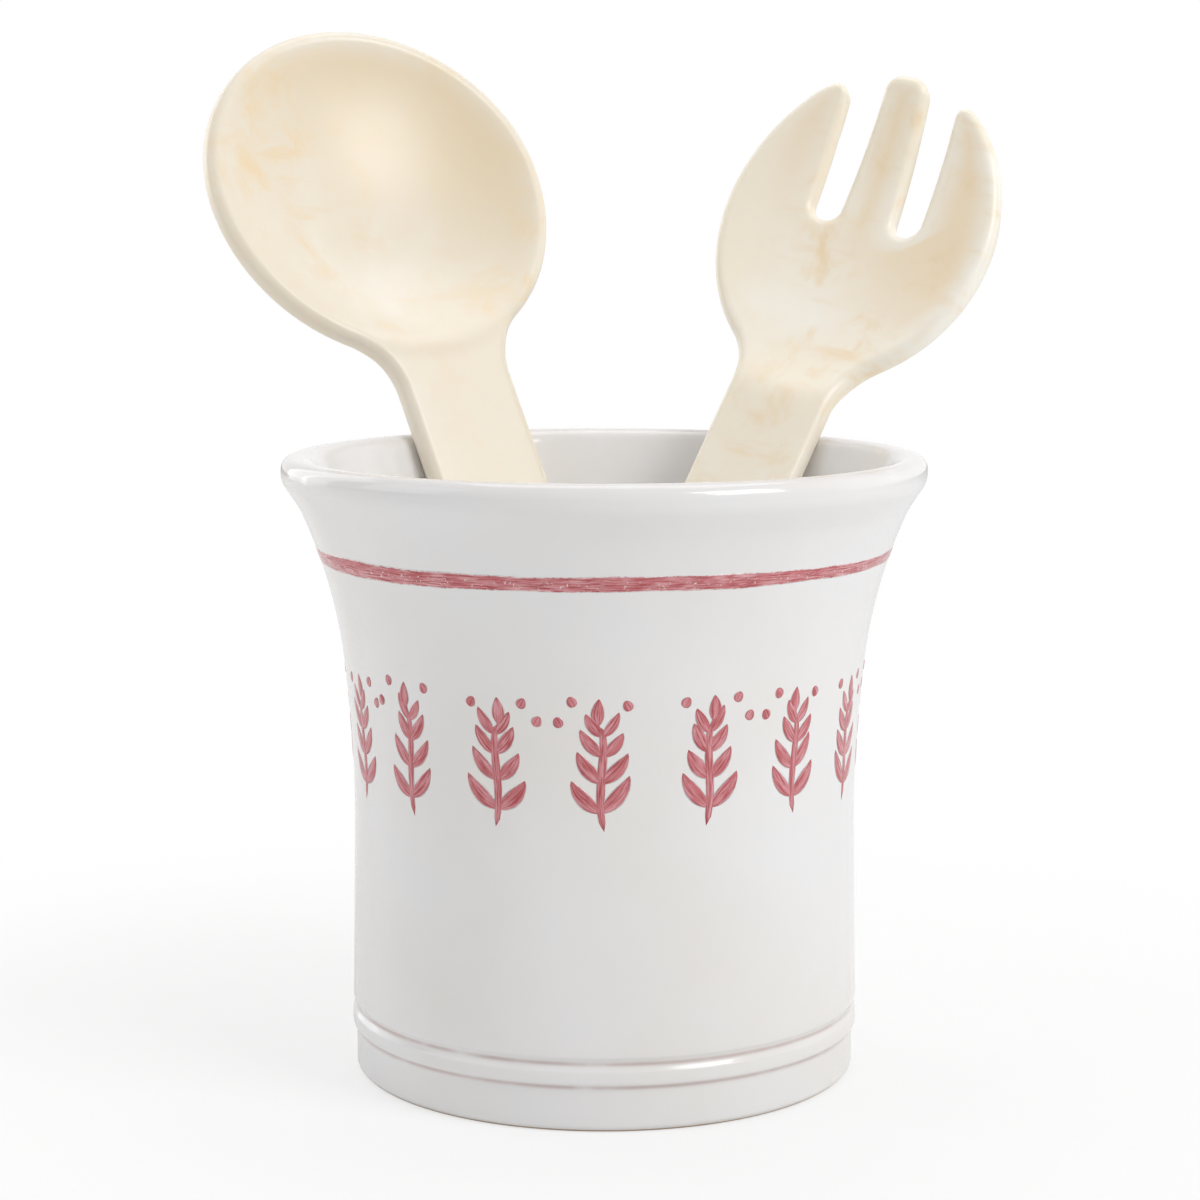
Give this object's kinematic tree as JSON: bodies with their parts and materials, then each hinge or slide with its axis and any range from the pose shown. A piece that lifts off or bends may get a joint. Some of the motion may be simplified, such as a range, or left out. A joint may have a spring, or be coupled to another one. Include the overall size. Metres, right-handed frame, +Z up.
{
  "type": "utensil crock",
  "caption": "Glazed pottery crock with a flared mouth, rolled lip and turned foot band, holding a serving spoon and a serving fork that lift out.",
  "frame": {"origin": "centre of the crock's foot ring, in the plane it stands on", "axes": "+Z up along the crock's axis, -Y towards the painted front, +X to the right as seen from the front"},
  "size_m": [0.2116, 0.1972, 0.2604],
  "materials": {
    "glaze": "glossy tin-white glaze with a painted dusty red band and a painted row of sprigs",
    "spoon_resin": "satin ivory cast resin with cloudy honey-coloured patches",
    "fork_resin": "satin ivory cast resin with cloudy honey-coloured patches"
  },
  "bodies": {
    "crock": {"crock": "glaze"},
    "serving_spoon": {"serving_spoon": "spoon_resin"},
    "serving_fork": {"serving_fork": "fork_resin"}
  },
  "joints": [
    {"name": "spoon_lift", "type": "slide", "parent": "crock", "child": "serving_spoon", "axis": [-0.3265, 0.3184, 0.8899], "range_m": [0, 0.2]},
    {"name": "fork_lift", "type": "slide", "parent": "crock", "child": "serving_fork", "axis": [0.4009, 0.4085, 0.82], "range_m": [0, 0.2]}
  ]
}
